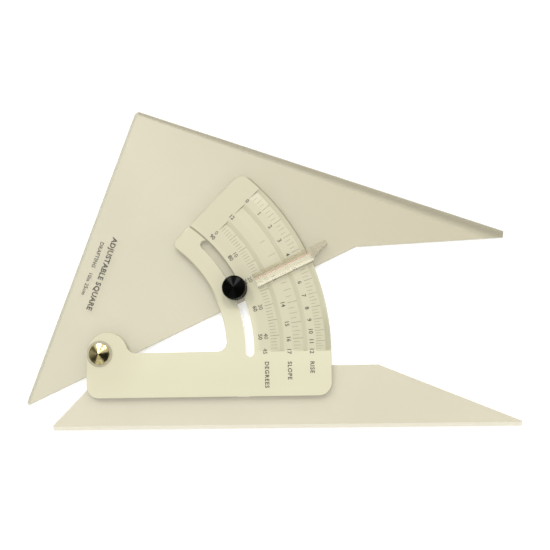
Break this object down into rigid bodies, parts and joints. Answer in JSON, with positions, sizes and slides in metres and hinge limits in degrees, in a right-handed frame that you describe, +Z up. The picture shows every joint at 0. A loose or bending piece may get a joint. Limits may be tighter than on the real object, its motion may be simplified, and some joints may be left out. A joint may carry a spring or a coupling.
{
  "type": "adjustable set square",
  "caption": "Adjustable drafting set square: two clear blades on a brass pivot, a graduated plate with a curved slot, a lock knob and a hairline cursor.",
  "frame": {"origin": "on the pivot axis, at the underside of the pivot barrel and of both blades", "axes": "+X along the base blade's ruling edge towards the sharp tips, +Y across to the upper blade, +Z up from the drawing board"},
  "size_m": [0.3033, 0.2018, 0.0169],
  "materials": {
    "base_acrylic": "polished clear acrylic, faintly cream",
    "blade_acrylic": "polished clear acrylic, faintly cream",
    "plate_acrylic": "polished clear acrylic with milled scale grooves",
    "shim_acrylic": "clear bonded film",
    "cursor_acrylic": "polished clear acrylic",
    "clear_nylon": "natural nylon",
    "white_nylon": "natural nylon",
    "turned_brass": "fine turned, polished",
    "brass": "turned",
    "stud_brass": "turned",
    "black_washer": "black nylon",
    "black_knob": "moulded gloss black, fluted side"
  },
  "bodies": {
    "base": {"base_blade": "base_acrylic", "bonding_shim": "shim_acrylic", "protractor_plate": "plate_acrylic", "pivot_barrel": "brass", "pivot_slip_washer": "clear_nylon", "pivot_head_washer": "clear_nylon", "pivot_screw": "turned_brass"},
    "blade": {"upper_blade": "blade_acrylic", "lock_stud": "stud_brass", "slot_guide": "white_nylon", "cursor_foot": "cursor_acrylic", "cursor_bar": "cursor_acrylic"},
    "clamp_washer": {"knob_washer": "black_washer"},
    "knob": {"lock_knob": "black_knob", "knob_insert": "stud_brass"}
  },
  "joints": [
    {"name": "opening", "type": "hinge", "parent": "base", "child": "blade", "pos_m": [0, 0, 0], "axis": [0, 0, 1], "range_deg": [-24.4, 20.6]},
    {"name": "knob_lift", "type": "slide", "parent": "blade", "child": "clamp_washer", "axis": [0, 0, 1], "range_m": [0, 0.0007]},
    {"name": "knob_turn", "type": "hinge", "parent": "clamp_washer", "child": "knob", "pos_m": [0.08583, 0.03857, 0.0069], "axis": [0, 0, 1], "range_deg": [0, 360]}
  ],
  "couplings": [
    {"joint": "knob_turn", "follows": "knob_lift", "rad_per_m": 8975.9}
  ]
}
